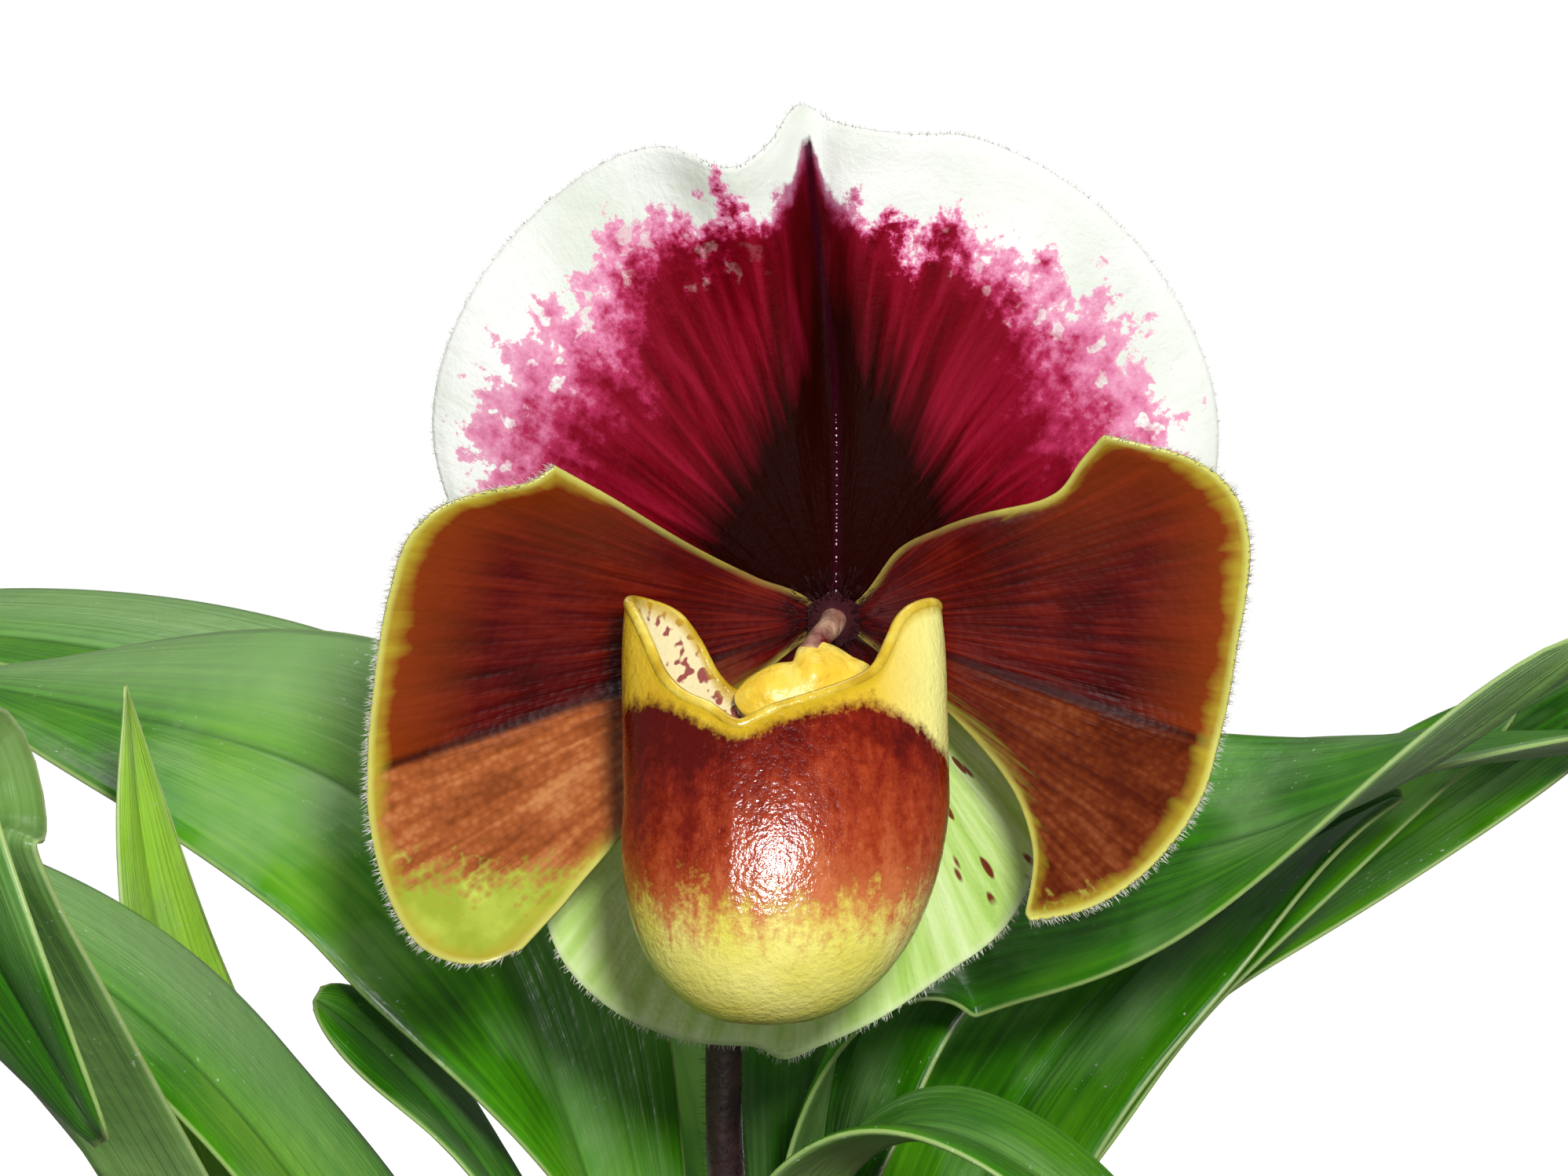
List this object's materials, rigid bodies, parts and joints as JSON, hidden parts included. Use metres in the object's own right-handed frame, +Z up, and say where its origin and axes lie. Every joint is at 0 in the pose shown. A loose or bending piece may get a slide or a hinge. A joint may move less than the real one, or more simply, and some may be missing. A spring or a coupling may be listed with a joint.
{
  "type": "potted slipper orchid",
  "caption": "Slipper orchid with a hooded sepal, spread petals and a pouched lip on a short stalk above arching strap leaves, growing in bark in a plain round pot.",
  "frame": {"origin": "middle of the flat underside of the pot, on the surface that it stands on", "axes": "+Z up; the bloom looks along -Y; +X is to the right as a viewer in front of the bloom sees it"},
  "size_m": [0.2845, 0.1667, 0.3017],
  "materials": {
    "pot_plastic": "satin moulded plastic",
    "bark": "rough",
    "leaf_base": "satin",
    "leaf": "satin, waxy",
    "young_leaf": "satin",
    "scape": "matt, hairy",
    "ovary": "matt, hairy",
    "bract": "matt",
    "sepal_dorsal": "matt, white margin",
    "petal": "waxy gloss",
    "sepal_lower": "matt",
    "lip": "waxy gloss, yellow rim and toe",
    "column": "waxy gloss"
  },
  "bodies": {
    "root": {"pot": "pot_plastic", "bark": "bark", "crown_flowering": "leaf_base", "crown_right": "leaf_base", "crown_left": "leaf_base", "crown_front": "leaf_base", "leaf_right_front": "leaf", "leaf_right_upper": "leaf", "leaf_right_back": "leaf", "leaf_right_pale": "leaf", "leaf_right_low": "leaf", "leaf_front_arch": "leaf", "leaf_left_big": "leaf", "leaf_left_back": "leaf", "leaf_left_front": "leaf", "leaf_left_under": "leaf", "leaf_left_young": "young_leaf", "leaf_left_droop": "leaf", "scape": "scape", "ovary": "ovary", "bract": "bract", "sepal_dorsal": "sepal_dorsal", "petal_left": "petal", "petal_right": "petal", "sepal_lower": "sepal_lower", "lip_pouch": "lip", "column": "column"}
  },
  "joints": []
}
